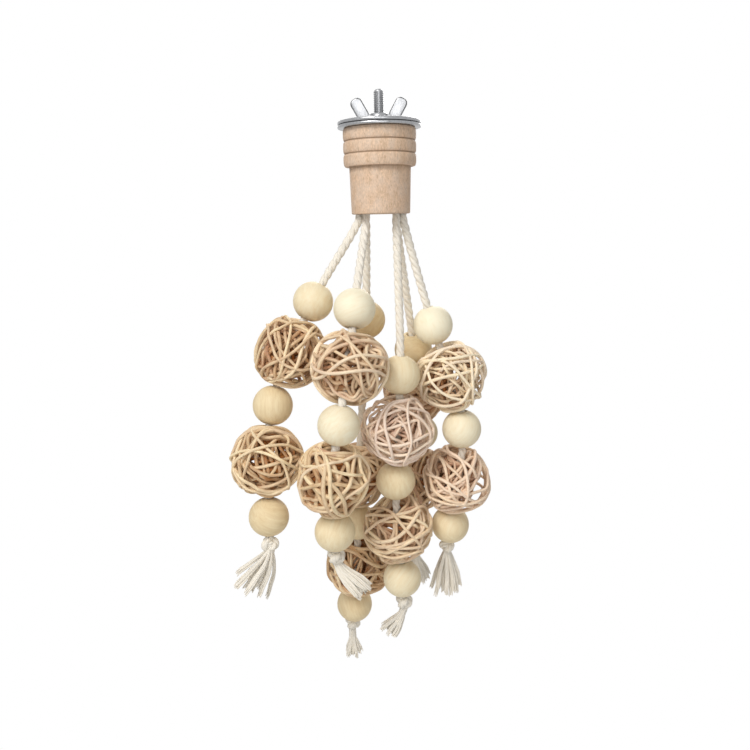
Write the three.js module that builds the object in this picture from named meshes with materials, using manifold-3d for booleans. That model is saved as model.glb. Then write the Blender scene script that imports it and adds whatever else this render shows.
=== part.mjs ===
// A hanging bird chew toy: a turned wooden block clamped to a cage by a bolt, with six cords of beads and
// rattan balls.
// Millimetres, +Z up along the bolt. The origin is the middle of the block's top face.
import * as THREE from 'three';
import { mergeVertices } from 'three/addons/utils/BufferGeometryUtils.js';
import Module from 'manifold-3d';

// Wooden block
const BLOCK_DIAMETER = 29;
const BLOCK_HEAD_HEIGHT = 14.6;
const BLOCK_HEIGHT = 33;
const NECK_DIAMETER = 24.6;
const NECK_END_DIAMETER = 23.6;
const BAND_COUNT = 3;
const BAND_SWELL = 0.18;
const GROOVE_WIDTH = 0.9;
const GROOVE_DEPTH = 0.6;
const HEAD_CHAMFER = 0.8;
const TOP_EDGE_CHAMFER = 0.4;
const NECK_END_CHAMFER = 0.5;
const CORD_HOLE_SPACING = 14;
const CORD_HOLE_DEPTH = 17;

// Clamping hardware
const BOLT_DIAMETER = 4;
const BOLT_ABOVE_BLOCK = 14.8;
const BOLT_IN_BLOCK = 14;
const BOLT_TIP_TAPER = 0.9;
const WASHER_DIAMETER = 33;
const WASHER_THICKNESS = 1.3;
const WASHER_EDGE_CHAMFER = 0.35;
const NUT_HUB_DIAMETER = 8.4;
const NUT_HUB_TOP_DIAMETER = 6.8;
const NUT_HUB_HEIGHT = 2.8;
const WING_SPAN = 22;
const WING_RISE = 8.6;
const WING_WIDTH = 4.8;
const WING_THICKNESS = 1.9;
const WING_ROOT_RISE = 2.6;
const WING_FOOT_HEIGHT = 2.4;
const WING_LEAN = THREE.MathUtils.degToRad(30);

// Cords, beads and balls
const CORD_DIAMETER = 3;
const BEAD_DIAMETER = 16.5;
const BALL_DIAMETER = 31;
const CANE_DIAMETER = 1.5;
const CANE_TURNS = 5;
const CANE_WAVES = 6;
const CORD_DROP = 34.6;
const LONG_STRAND_BARE_CORD = 46.4;
const KNOT_WIDTH = 7;
const KNOT_HEIGHT = 5.6;
const KNOT_TURNS = 2;
const KNOT_LOBES = 3;
const KNOT_STRAND_SHARE = 0.45;
const FRAYED_LENGTH = 20;
const YARN_DIAMETER = 1.7;
const YARN_TIP_SHARE = 0.64;
const YARN_RING_SHARE = 0.55;

// Clearances
const SEAT_GAP = 0.3;
const HARDWARE_GAP = 0.1;
const BOLT_HOLE_CLEARANCE = 0.5;
const CORD_SIDE_GAP = 0.3;
const CORD_HOLE_CLEARANCE = 0.4;
const BEAD_BORE_CLEARANCE = 1.7;
const PORT_CLEARANCE = 2.25;
const CANE_GAP = 0.55;
const STRAND_GAP = 0.5;
const BEND_ANGLE = THREE.MathUtils.degToRad(1.3);

// How fine the round shapes are
const ROUND_SIDES = 24;
const SMALL_SIDES = 12;
const CORD_SIDES = 8;
const CORD_STEPS = 13;
const BEAD_SIDES = 10;
const BEAD_RINGS = 7;
const CANE_SIDES = 4;
const CANE_STEPS = 96;
const CANE_EVENNESS = 8;
const CANE_SLACK_SHARE = 0.06;
const GAP_POINTS_A_STEP = 6;
const KNOT_SIDES = 4;
const KNOT_STEPS = 24;
const WING_ARC_STEPS = 6;
const YARNS = 6;
const YARN_SIDES = 4;
const WELD_DISTANCE = 1e-4;

// The strands. hole is the side of the block and corner the cord's place among the three in that hole, in
// degrees. lower is how many steps its first bead hangs under the highest strand's. spread gives, for each
// bead and ball in turn, how far it hangs to the right and to the back of the bolt, in ball pitches. tail
// leans the frayed end, fan splays its yarns and frayed is its share of the full frayed length.
const STRANDS = {
  a: {
    hole: -1, corner: 180, lower: 0,
    spread: [[-0.91, -0.05], [-1.23, -0.18], [-1.47, -0.3], [-1.56, -0.46], [-1.55, -0.62]],
    tail: [-0.5, -0.1], fan: 0.5, frayed: 1,
  },
  b: {
    hole: -1, corner: 300, lower: 0.07,
    spread: [[-0.36, -0.55], [-0.43, -0.77], [-0.58, -0.99], [-0.68, -0.92], [-0.68, -0.85]],
    tail: [1.1, -0.3], fan: 0.4, frayed: 0.85,
  },
  c: {
    hole: -1, corner: 60, lower: 0.4, bare: LONG_STRAND_BARE_CORD,
    spread: [[-0.23, 0.25], [-0.39, 0.3], [-0.42, 0.3], [-0.43, 0.4], [-0.51, 0.55]],
    tail: [-0.15, 0], fan: 0.25, frayed: 0.7,
  },
  d: {
    hole: 1, corner: 240, lower: 1.29,
    spread: [[0.2, -0.36], [0.15, -0.37], [0.12, -0.31], [0.15, -0.23], [0.19, -0.23]],
    tail: [-0.55, -0.1], fan: 0.35, frayed: 0.6,
  },
  e: {
    hole: 1, corner: 120, lower: 1.04,
    spread: [[0.42, 0.51], [0.46, 0.79], [0.54, 1.02], [0.49, 1.0], [0.45, 0.95]],
    tail: [0.2, 0.2], fan: 0.35, frayed: 0.8,
  },
  f: {
    hole: 1, corner: 0, lower: 0.49,
    spread: [[0.66, 0.03], [0.89, -0.03], [1.03, -0.08], [0.96, -0.05], [0.89, 0.08]],
    tail: [-0.1, -0.1], fan: 0.45, frayed: 1,
  },
};

const wasm = await Module();
wasm.setup();

const UP = new THREE.Vector3(0, 0, 1);
const ballRadius = BALL_DIAMETER / 2;
const beadRadius = BEAD_DIAMETER / 2;
const cordRadius = CORD_DIAMETER / 2;
const boreRadius = (CORD_DIAMETER + BEAD_BORE_CLEARANCE) / 2;
const beadEnd = Math.sqrt(beadRadius ** 2 - boreRadius ** 2);
const boltHole = BOLT_DIAMETER + BOLT_HOLE_CLEARANCE;
const cordRing = (CORD_DIAMETER + CORD_SIDE_GAP) / Math.sqrt(3);
const cordHoleRadius = cordRing + cordRadius + CORD_HOLE_CLEARANCE / 2;
const cordTop = -BLOCK_HEIGHT - SEAT_GAP - cordRadius;

// A bead rests on the rim of a ball's opening, which sets the distance between their middles.
const portRadius = cordRadius + PORT_CLEARANCE;
const portAngle = Math.asin(portRadius / ballRadius);
const seatAngle = portAngle - BEND_ANGLE;
const seatReach = beadRadius + SEAT_GAP;
const step = ballRadius * Math.cos(seatAngle)
  + Math.sqrt(seatReach ** 2 - (ballRadius * Math.sin(seatAngle)) ** 2);
const pitch = BALL_DIAMETER + STRAND_GAP;

const material = (color, roughness, metalness) => new THREE.MeshStandardMaterial({
  color, roughness, metalness,
});
const wood = () => material(0xd6b898, 0.6, 0);
const paleWood = () => material(0xf0e1b9, 0.55, 0);
const cane = () => material(0xd7b487, 0.6, 0);
const cotton = () => material(0xeee8dc, 0.95, 0);
const zinc = () => material(0xc9ccce, 0.3, 1);
const glue = () => material(0xe4dcc4, 0.4, 0);

const group = new THREE.Group();
const add = (name, geometry, look) => {
  const mesh = new THREE.Mesh(geometry, look);
  mesh.name = name;
  group.add(mesh);
};

// A closed three.js geometry as a solid that can be added to or cut from another.
const solid = (geometry) => {
  const bare = geometry.clone();
  bare.deleteAttribute('normal');
  bare.deleteAttribute('uv');
  const joined = mergeVertices(bare, WELD_DISTANCE);
  return new wasm.Manifold(new wasm.Mesh({
    numProp: 3,
    vertProperties: new Float32Array(joined.attributes.position.array),
    triVerts: new Uint32Array(joined.index.array),
  }));
};
const geometryOf = (body) => {
  const made = body.getMesh();
  const geometry = new THREE.BufferGeometry();
  geometry.setAttribute('position', new THREE.BufferAttribute(made.vertProperties, 3));
  geometry.setIndex(new THREE.BufferAttribute(made.triVerts, 1));
  geometry.computeVertexNormals();
  return geometry;
};

// A round solid about Z from a profile of [radius, height] points.
const turned = (points, sides) => {
  const profile = points.map(([r, z]) => new THREE.Vector2(r, z));
  return new THREE.LatheGeometry(profile, sides).rotateX(Math.PI / 2);
};
const rod = (radius, bottom, top, sides) => turned([
  [0, bottom], [radius, bottom], [radius, top], [0, top],
], sides);
const ring = (inner, outer, bottom, top, chamfer, sides) => turned([
  [inner, bottom], [outer - chamfer, bottom], [outer, bottom + chamfer],
  [outer, top - chamfer], [outer - chamfer, top], [inner, top], [inner, bottom],
], sides);

// Turns a shape made about Z so that its axis runs along a direction, and moves it to a place.
const placed = (geometry, direction, place, spin = 0) => {
  const turn = new THREE.Quaternion().setFromUnitVectors(UP, direction.clone().normalize());
  geometry.rotateZ(spin);
  geometry.applyQuaternion(turn);
  return geometry.translate(place.x, place.y, place.z);
};

// The block: three swelling bands parted by grooves, a chamfered step and a tapering neck.
const headRadius = BLOCK_DIAMETER / 2;
const band = BLOCK_HEAD_HEIGHT / BAND_COUNT;
const blockProfile = [[0, -BLOCK_HEIGHT]];
blockProfile.push([NECK_END_DIAMETER / 2 - NECK_END_CHAMFER, -BLOCK_HEIGHT]);
blockProfile.push([NECK_END_DIAMETER / 2, -BLOCK_HEIGHT + NECK_END_CHAMFER]);
blockProfile.push([NECK_DIAMETER / 2, -BLOCK_HEAD_HEIGHT]);
blockProfile.push([headRadius - HEAD_CHAMFER, -BLOCK_HEAD_HEIGHT]);
for (let i = BAND_COUNT; i > 0; i -= 1) {
  const bottom = -band * i;
  const below = i === BAND_COUNT ? HEAD_CHAMFER : GROOVE_WIDTH / 2;
  blockProfile.push([headRadius - BAND_SWELL, bottom + below]);
  blockProfile.push([headRadius, bottom + band / 2]);
  if (i > 1) {
    blockProfile.push([headRadius - BAND_SWELL, bottom + band - GROOVE_WIDTH / 2]);
    blockProfile.push([headRadius - GROOVE_DEPTH, bottom + band]);
  }
}
blockProfile.push([headRadius - BAND_SWELL, -TOP_EDGE_CHAMFER]);
blockProfile.push([headRadius - TOP_EDGE_CHAMFER, 0], [0, 0]);
let block = solid(turned(blockProfile, ROUND_SIDES));
block = block.subtract(solid(rod(boltHole / 2, -BOLT_IN_BLOCK - SEAT_GAP, SEAT_GAP, SMALL_SIDES)));
for (const side of [-1, 1]) {
  const holeTop = -BLOCK_HEIGHT + CORD_HOLE_DEPTH;
  const hole = rod(cordHoleRadius, -BLOCK_HEIGHT - SEAT_GAP, holeTop, ROUND_SIDES);
  block = block.subtract(solid(hole.translate(side * CORD_HOLE_SPACING / 2, 0, 0)));
}
add('wood_block', geometryOf(block), wood());

// The bolt, the two washers and the wing nut.
add('hanger_bolt', turned([
  [0, -BOLT_IN_BLOCK], [BOLT_DIAMETER / 2, -BOLT_IN_BLOCK],
  [BOLT_DIAMETER / 2, BOLT_ABOVE_BLOCK - BOLT_TIP_TAPER],
  [BOLT_DIAMETER / 2 - BOLT_TIP_TAPER, BOLT_ABOVE_BLOCK], [0, BOLT_ABOVE_BLOCK],
], SMALL_SIDES), zinc());
const washer = (bottom) => ring(
  boltHole / 2, WASHER_DIAMETER / 2, bottom, bottom + WASHER_THICKNESS, WASHER_EDGE_CHAMFER, ROUND_SIDES,
);
const upperWasher = HARDWARE_GAP + WASHER_THICKNESS + HARDWARE_GAP;
const nutBottom = upperWasher + WASHER_THICKNESS + HARDWARE_GAP;
add('lower_washer', washer(HARDWARE_GAP), zinc());
add('upper_washer', washer(upperWasher), zinc());
let nut = solid(turned([
  [0, 0], [NUT_HUB_DIAMETER / 2, 0], [NUT_HUB_TOP_DIAMETER / 2, NUT_HUB_HEIGHT], [0, NUT_HUB_HEIGHT],
], SMALL_SIDES));
const wingRound = WING_WIDTH / 2;
const wingClimb = WING_RISE - wingRound - WING_ROOT_RISE;
const wingRoot = WING_SPAN / 2 - wingRound - wingClimb * Math.tan(WING_LEAN);
const plate = (width, length) => {
  const outline = new THREE.Shape();
  outline.absarc(0, length, width / 2, 0, Math.PI, false);
  outline.absarc(0, 0, width / 2, Math.PI, 2 * Math.PI, false);
  const flat = { depth: WING_THICKNESS, bevelEnabled: false, curveSegments: WING_ARC_STEPS };
  return new THREE.ExtrudeGeometry(outline, flat).translate(0, 0, -WING_THICKNESS / 2);
};
for (const side of [-1, 1]) {
  const foot = plate(WING_FOOT_HEIGHT, wingRoot).rotateZ(-Math.PI / 2).translate(0, NUT_HUB_HEIGHT / 2, 0);
  const wing = plate(WING_WIDTH, wingClimb / Math.cos(WING_LEAN)).rotateZ(-WING_LEAN);
  wing.translate(wingRoot, WING_ROOT_RISE, 0);
  for (const blade of [foot, wing]) {
    blade.rotateX(Math.PI / 2).rotateZ(side > 0 ? 0 : Math.PI);
    nut = nut.add(solid(blade));
  }
}
nut = nut.subtract(solid(rod(boltHole / 2, -SEAT_GAP, WING_RISE, SMALL_SIDES)));
add('wing_nut', geometryOf(nut.translate(0, 0, nutBottom)), zinc());

// The shapes that repeat: a bored bead, a woven ball and a knot.
const beadProfile = [];
for (let i = 0; i <= BEAD_RINGS; i += 1) {
  const from = Math.acos(beadEnd / beadRadius);
  const angle = from + (Math.PI - 2 * from) * (1 - i / BEAD_RINGS);
  beadProfile.push([beadRadius * Math.sin(angle), beadRadius * Math.cos(angle)]);
}
beadProfile.push(beadProfile[0]);
const bead = turned(beadProfile, BEAD_SIDES);

// The ball is one unbroken cane. It runs from one opening to the other and back while it goes round the
// cord, and rises and dips on the way, so that it passes over and under itself without touching. Where it
// doesn't cross, at the middle and at the openings, it stays out at the ball's full size.
const caneRadius = CANE_DIAMETER / 2;
const caneSweep = Math.PI / 2 - portAngle - Math.asin(caneRadius / ballRadius);
const caneRise = (CANE_DIAMETER + CANE_GAP) / (2 * Math.sin(Math.PI / CANE_TURNS));
const caneTop = ballRadius - caneRadius - caneRise * CANE_SLACK_SHARE;
const caneMiddle = caneTop - caneRise;
class WoundCane extends THREE.Curve {
  getPoint(share) {
    const wave = 2 * Math.PI * CANE_WAVES * share;
    const round = 2 * Math.PI * CANE_TURNS * share;
    const tilt = caneSweep * Math.cos(wave);
    const lift = Math.sin(2 * wave) + Math.cos(2 * wave) ** CANE_EVENNESS;
    const reach = caneMiddle + caneRise * lift;
    const out = reach * Math.cos(tilt);
    return new THREE.Vector3(out * Math.cos(round), out * Math.sin(round), reach * Math.sin(tilt));
  }
}
const caneCurve = new WoundCane();
const ball = new THREE.TubeGeometry(caneCurve, CANE_STEPS, caneRadius, CANE_SIDES, true);

// How near the cane comes to itself. Points within a quarter of a wave of each other are one run of it.
const gapPoints = CANE_STEPS * GAP_POINTS_A_STEP;
const oneRun = Math.ceil(gapPoints / (4 * CANE_WAVES));
const canePoints = caneCurve.getSpacedPoints(gapPoints);
let leastGap = Infinity;
canePoints.forEach((point, i) => {
  const end = Math.min(canePoints.length, gapPoints + i - oneRun);
  for (let k = i + oneRun; k < end; k += 1) {
    leastGap = Math.min(leastGap, point.distanceTo(canePoints[k]) - CANE_DIAMETER);
  }
});
console.log(`The least gap of a ball's cane to itself is ${leastGap.toFixed(2)} mm.`);

const knotRing = KNOT_WIDTH / 4;
const knotStrand = knotRing * KNOT_STRAND_SHARE;
const knot = new THREE.TorusKnotGeometry(
  knotRing, knotStrand, KNOT_STEPS, KNOT_SIDES, KNOT_TURNS, KNOT_LOBES,
);
knot.computeBoundingBox();
const knotBox = knot.boundingBox.getSize(new THREE.Vector3());
knot.scale(KNOT_WIDTH / knotBox.x, KNOT_WIDTH / knotBox.y, KNOT_HEIGHT / knotBox.z);

// The places of a strand's cord end, beads, balls and knot, from the top down.
const layOut = ({ hole, corner, lower, bare = 0, spread }) => {
  const angle = THREE.MathUtils.degToRad(corner);
  const top = new THREE.Vector3(
    hole * CORD_HOLE_SPACING / 2 + cordRing * Math.cos(angle), cordRing * Math.sin(angle), cordTop,
  );
  const places = [];
  let height = -BLOCK_HEIGHT - CORD_DROP - lower * step;
  spread.forEach(([right, back], i) => {
    const x = right * pitch;
    const y = back * pitch;
    if (i > 0) {
      const before = places[i - 1];
      const reach = i === 1 ? step + bare : step;
      height -= Math.sqrt(reach ** 2 - (x - before.x) ** 2 - (y - before.y) ** 2);
    }
    places.push(new THREE.Vector3(x, y, height));
  });
  return { top, places };
};

// A frayed end: yarns that leave the knot together and splay apart.
const frayed = (direction, fan, length) => {
  let all = solid(rod(cordRadius, -YARN_DIAMETER * 2, 0, CORD_SIDES));
  for (let i = 0; i < YARNS; i += 1) {
    const away = (i / YARNS) * 2 * Math.PI;
    const out = new THREE.Vector3(Math.cos(away) * fan, Math.sin(away) * fan, -1);
    const tip = YARN_TIP_SHARE * YARN_DIAMETER / 2;
    const yarn = new THREE.CylinderGeometry(YARN_DIAMETER / 2, tip, length, YARN_SIDES);
    yarn.rotateX(Math.PI / 2).translate(0, 0, -length / 2);
    const root = new THREE.Vector3(Math.cos(away), Math.sin(away), 0);
    root.multiplyScalar(cordRadius * YARN_RING_SHARE);
    all = all.add(solid(placed(yarn, out.clone().negate(), root.setZ(-YARN_DIAMETER))));
  }
  return placed(geometryOf(all), direction.clone().negate(), new THREE.Vector3());
};

for (const [letter, strand] of Object.entries(STRANDS)) {
  const { top, places } = layOut(strand);
  const last = places[places.length - 1];
  const end = last.clone().sub(places[places.length - 2]).normalize();

  // Each piece's own axis. The cord runs straight through a bead and bends inside the balls.
  const axes = places.map((place, i) => {
    const above = i > 0 ? places[i - 1] : top;
    const below = i < places.length - 1 ? places[i + 1] : place.clone().add(end);
    if (i % 2 === 1) return above.clone().sub(below).normalize();
    const arriving = above.clone().sub(place).normalize();
    return arriving.add(place.clone().sub(below).normalize()).normalize();
  });
  const stops = [top];
  places.forEach((place, i) => {
    if (i % 2 === 0) {
      stops.push(place.clone().addScaledVector(axes[i], beadEnd));
      stops.push(place.clone().addScaledVector(axes[i], -beadEnd));
    }
  });
  const cordEnd = stops[stops.length - 1];
  const route = new THREE.CatmullRomCurve3(stops, false, 'centripetal');

  const outline = new THREE.Shape().absellipse(0, 0, cordRadius, cordRadius, 0, 2 * Math.PI);
  const tube = new THREE.ExtrudeGeometry(outline, {
    steps: CORD_STEPS, extrudePath: route, curveSegments: CORD_SIDES / 2, bevelEnabled: false,
  });
  const rounded = new THREE.IcosahedronGeometry(cordRadius, 0).translate(top.x, top.y, top.z);
  add(`cord_${letter}`, geometryOf(solid(tube).add(solid(rounded))), cotton());

  places.forEach((place, i) => {
    const number = Math.floor(i / 2) + 1;
    if (i % 2 === 0) {
      add(`bead_${letter}${number}`, placed(bead.clone(), axes[i], place), paleWood());
    } else {
      const spin = i + letter.charCodeAt(0);
      add(`ball_${letter}${number}`, placed(ball.clone(), axes[i], place, spin), cane());
    }
  });

  const hang = axes[axes.length - 1].clone().negate();
  const knotPlace = cordEnd.clone().addScaledVector(hang, SEAT_GAP + KNOT_HEIGHT / 2);
  add(`knot_${letter}`, placed(knot.clone(), hang, knotPlace), cotton());
  const lean = new THREE.Vector3(strand.tail[0], strand.tail[1], -1).normalize();
  const tipUp = cordRadius * Math.sin(lean.angleTo(hang));
  const tailTop = knotPlace.clone().addScaledVector(hang, KNOT_HEIGHT / 2 + SEAT_GAP + tipUp);
  const tail = frayed(lean, strand.fan, FRAYED_LENGTH * strand.frayed);
  add(`frayed_end_${letter}`, tail.translate(tailTop.x, tailTop.y, tailTop.z), cotton());
}

// The three cord ends that are glued into each hole of the block.
for (const [name, side] of [['left', -1], ['right', 1]]) {
  const plugTop = -BLOCK_HEIGHT + CORD_HOLE_DEPTH - SEAT_GAP;
  let root = solid(rod(cordRing + cordRadius, plugTop - CORD_DIAMETER, plugTop, SMALL_SIDES));
  for (const { hole, corner } of Object.values(STRANDS)) {
    if (hole === side) {
      const angle = THREE.MathUtils.degToRad(corner);
      const stub = rod(cordRadius, -BLOCK_HEIGHT, plugTop - CORD_DIAMETER / 2, CORD_SIDES);
      root = root.add(solid(stub.translate(cordRing * Math.cos(angle), cordRing * Math.sin(angle), 0)));
    }
  }
  add(`glued_cords_${name}`, geometryOf(root.translate(side * CORD_HOLE_SPACING / 2, 0, 0)), glue());
}

export default group;
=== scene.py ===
"""A hanging chew toy for birds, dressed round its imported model.

A turned beech block hangs from a bolt, two washers and a wing nut. Six twisted cotton cords
leave the block, and each carries three pale wooden beads with two woven rattan balls between
them, over a knot and a frayed end.
"""

import math
import random
from collections import namedtuple

import bmesh
import bpy
import numpy as np
from mathutils import Matrix, Vector
from mathutils.geometry import interpolate_bezier


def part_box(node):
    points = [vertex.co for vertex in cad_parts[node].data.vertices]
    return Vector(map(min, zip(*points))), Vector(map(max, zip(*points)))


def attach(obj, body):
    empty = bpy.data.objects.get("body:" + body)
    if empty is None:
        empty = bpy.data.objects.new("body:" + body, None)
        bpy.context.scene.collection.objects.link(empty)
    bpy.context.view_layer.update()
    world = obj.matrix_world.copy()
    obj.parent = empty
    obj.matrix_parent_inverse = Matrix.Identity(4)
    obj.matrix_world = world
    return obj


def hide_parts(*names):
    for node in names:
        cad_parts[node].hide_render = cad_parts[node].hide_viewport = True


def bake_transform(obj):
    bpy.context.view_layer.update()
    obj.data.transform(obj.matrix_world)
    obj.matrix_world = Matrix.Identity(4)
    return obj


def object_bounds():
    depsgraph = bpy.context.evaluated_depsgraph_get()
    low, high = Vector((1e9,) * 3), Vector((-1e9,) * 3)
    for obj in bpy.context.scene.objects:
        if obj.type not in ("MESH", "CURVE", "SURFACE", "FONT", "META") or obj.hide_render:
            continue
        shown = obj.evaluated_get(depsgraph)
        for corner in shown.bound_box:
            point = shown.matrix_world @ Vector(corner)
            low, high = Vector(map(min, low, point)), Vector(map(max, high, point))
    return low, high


bl_info = {
    "name": "Hanging Chew Toy",
    "version": (1, 0, 0),
    "blender": (4, 5, 0),
    "location": "View3D > Sidebar > Chew Toy",
    "description": "Makes a hanging bird toy of beads, rattan balls and knotted cotton cords",
    "category": "Object",
}

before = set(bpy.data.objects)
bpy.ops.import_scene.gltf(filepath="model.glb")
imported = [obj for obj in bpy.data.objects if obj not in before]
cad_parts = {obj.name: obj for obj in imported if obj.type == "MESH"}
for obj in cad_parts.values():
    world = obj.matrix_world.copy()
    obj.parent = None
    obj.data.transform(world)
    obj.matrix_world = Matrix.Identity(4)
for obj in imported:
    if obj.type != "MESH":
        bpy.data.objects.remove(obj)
CAD_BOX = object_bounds()

MM = 0.001
UP = Vector((0, 0, 1))
FULL_TURN = 2 * math.pi
GOLDEN_ANGLE = math.pi * (3 - math.sqrt(5))

# Sizes that place the strands, in millimetres, as in the part's source.
BLOCK_HEIGHT = 33.0
HOLE_SPACING = 14.0
CORD_WIDTH = 3.0
CORD_SIDE_GAP = 0.3
CORD_DROP = 34.6
BEAD_WIDTH = 16.5
BALL_WIDTH = 31.0
PORT_WIDTH = 7.5
SEAT_GAP = 0.3
STRAND_GAP = 0.5
BEND = math.radians(1.3)

# How far over a strand's pivot the block ends, in millimetres.
MOUTH_RISE = CORD_SIDE_GAP + CORD_WIDTH / 2

# The strands, as in the part's source. hole is the side of the block and corner the cord's place
# among the three in that hole, in degrees. lower is how many steps the first bead hangs under the
# highest one, and bare the length of cord that shows under it. lean is the way that the frayed
# end points, fan how far its yarns splay, gather the share of its length that stays bundled, and
# length how long it is. spread gives, for each bead and ball in turn, how far it hangs to the
# right and to the back of the bolt, in ball pitches.
Strand = namedtuple("Strand", "hole corner lower bare lean fan gather length spread")
STRANDS = {
    "a": Strand(-1, 180, 0.0, 0.0, (-0.6, -0.1), 0.4, 0.02, 20.0, (
        (-0.91, -0.05), (-1.23, -0.18), (-1.47, -0.3), (-1.56, -0.46), (-1.55, -0.62),
    )),
    "b": Strand(-1, 300, 0.07, 0.0, (0.95, -0.3), 0.19, 0.1, 18.0, (
        (-0.36, -0.55), (-0.43, -0.77), (-0.58, -0.99), (-0.68, -0.92), (-0.68, -0.85),
    )),
    "c": Strand(-1, 60, 0.4, 46.4, (0.02, 0.0), 0.2, 0.45, 15.5, (
        (-0.23, 0.25), (-0.39, 0.3), (-0.42, 0.3), (-0.43, 0.4), (-0.51, 0.55),
    )),
    "d": Strand(1, 240, 1.29, 0.0, (-0.6, -0.1), 0.27, 0.3, 13.5, (
        (0.2, -0.36), (0.15, -0.37), (0.12, -0.31), (0.15, -0.23), (0.19, -0.23),
    )),
    "e": Strand(1, 120, 1.04, 0.0, (0.2, 0.2), 0.28, 0.1, 16.0, (
        (0.42, 0.51), (0.46, 0.79), (0.54, 1.02), (0.49, 1.0), (0.45, 0.95),
    )),
    "f": Strand(1, 0, 0.49, 0.0, (-0.04, -0.1), 0.34, 0.04, 20.0, (
        (0.66, 0.03), (0.89, -0.03), (1.03, -0.08), (0.96, -0.05), (0.89, 0.08),
    )),
}

# How pale, how pink and how bleached each ball's cane is, from 0 to 1, and its width as a share
# of the usual width.
BALL_LOOKS = {
    "a1": (0.6, 0.15, 0.0, 1.0), "a2": (0.62, 0.05, 0.0, 1.0), "b1": (0.64, 0.3, 0.1, 0.96),
    "b2": (0.63, 0.1, 0.0, 1.12), "c1": (0.5, 0.2, 0.0, 1.0), "c2": (0.5, 0.1, 0.0, 1.0),
    "d1": (0.95, 0.95, 0.55, 0.86), "d2": (0.72, 0.35, 0.1, 1.04), "e1": (0.5, 0.4, 0.0, 1.0),
    "e2": (0.5, 0.3, 0.0, 1.0), "f1": (1.0, 0.15, 0.65, 0.92), "f2": (0.84, 0.8, 0.1, 0.96),
}

# How pale each bead's wood is, from 0 to 1; c1's low value also paints the shade that bead hangs
# in.
BEAD_TONES_AND_SHADE = {
    "a1": 0.62, "a2": 0.4, "a3": 0.36, "b1": 0.95, "b2": 0.82, "b3": 0.52,
    "c1": 0.2, "c2": 0.45, "c3": 0.36, "d1": 0.58, "d2": 0.48, "d3": 0.66,
    "e1": 0.4, "e2": 0.45, "e3": 0.5, "f1": 1.0, "f2": 0.82, "f3": 0.5,
}


def paint(red, green, blue):
    """A colour as it is seen, in steps of 255, as the linear colour that a shader takes."""
    shares = [c / 255 for c in (red, green, blue)]
    return (*[c / 12.92 if c < 0.04045 else ((c + 0.055) / 1.055) ** 2.4 for c in shares], 1.0)


def colour_of(name, text, *seen):
    """A colour setting for the panel."""
    return bpy.props.FloatVectorProperty(
        name=name, description=text, subtype="COLOR", size=4, min=0, max=1, default=paint(*seen)
    )


def length_of(name, text, millimetres):
    """A length setting for the panel."""
    return bpy.props.FloatProperty(
        name=name, description=text, unit="LENGTH", min=0, precision=5, default=millimetres * MM
    )


def count_of(name, text, least, count):
    """A setting for the panel that counts."""
    return bpy.props.IntProperty(name=name, description=text, min=least, default=count)


class ChewToyCords(bpy.types.PropertyGroup):
    """Sizes and colour of the cords, knots and frayed ends."""

    width: length_of("Cord width", "Width across the three twisted plies", 3.5)
    squeezed: length_of("Squeezed width", "Width of a cord where the block's hole holds it", 3.2)
    lay: length_of("Lay", "Length of cord in which a ply goes once round", 10.5)
    root: length_of("Root", "How far the cord goes up into the block", 13.0)
    knot_width: length_of("Knot width", "Width of the knot under the last bead", 7.5)
    knot_height: length_of("Knot height", "Height of the knot under the last bead", 5.8)
    yarn: length_of("Yarn width", "Width of one yarn of a frayed end", 0.82)
    locks: count_of("Locks", "Locks that a frayed end parts into", 3, 15)
    yarns: count_of("Yarns", "Yarns in a lock", 1, 6)
    colour: colour_of("Cotton", "Colour of the cotton", 243, 237, 226)


class ChewToyBeads(bpy.types.PropertyGroup):
    """Sizes and colour of the wooden beads."""

    width: length_of("Bead width", "Width of a bead", BEAD_WIDTH)
    bore: length_of("Bore", "Width of the hole through a bead", 4.7)
    pale: colour_of("Pale wood", "Colour of the palest bead", 251, 243, 217)
    middle: colour_of("Bead wood", "Colour of a usual bead", 239, 221, 183)
    deep: colour_of("Deep wood", "Colour of the darkest bead", 217, 188, 139)


class ChewToyBalls(bpy.types.PropertyGroup):
    """Sizes and colour of the woven balls."""

    width: length_of("Ball width", "Width of a ball over its outer canes", BALL_WIDTH)
    cane: length_of("Cane width", "Usual width of a cane", 1.38)
    opening: length_of("Opening", "Width that the canes leave free round the cord", PORT_WIDTH)
    turns: count_of("Turns", "Turns of cane in a ball", 12, 40)
    pale: colour_of("Pale cane", "Colour of the palest cane", 255, 235, 194)
    brown: colour_of("Brown cane", "Colour of the brownest cane", 162, 98, 36)
    pink: colour_of("Pink cane", "Colour that some balls lean to", 246, 217, 202)


class ChewToyBlock(bpy.types.PropertyGroup):
    """Sizes and colour of the turned block."""

    head: length_of("Head width", "Width of the banded head", 29.0)
    head_height: length_of("Head height", "Height of the banded head", 14.6)
    height: length_of("Height", "Height of the whole block", BLOCK_HEIGHT)
    neck: length_of("Neck width", "Width of the neck under the head", 24.6)
    neck_end: length_of("Neck end", "Width of the neck at its lower end", 23.6)
    groove: length_of("Groove", "Depth of the grooves between the bands", 0.6)
    hole: length_of("Cord hole", "Width of a cord hole", 7.21)
    hole_depth: length_of("Hole depth", "Depth of a cord hole", 17.0)
    spacing: length_of("Hole spacing", "Distance between the cord holes", HOLE_SPACING)
    colour: colour_of("Beech", "Colour of the beech", 214, 184, 156)


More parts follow.
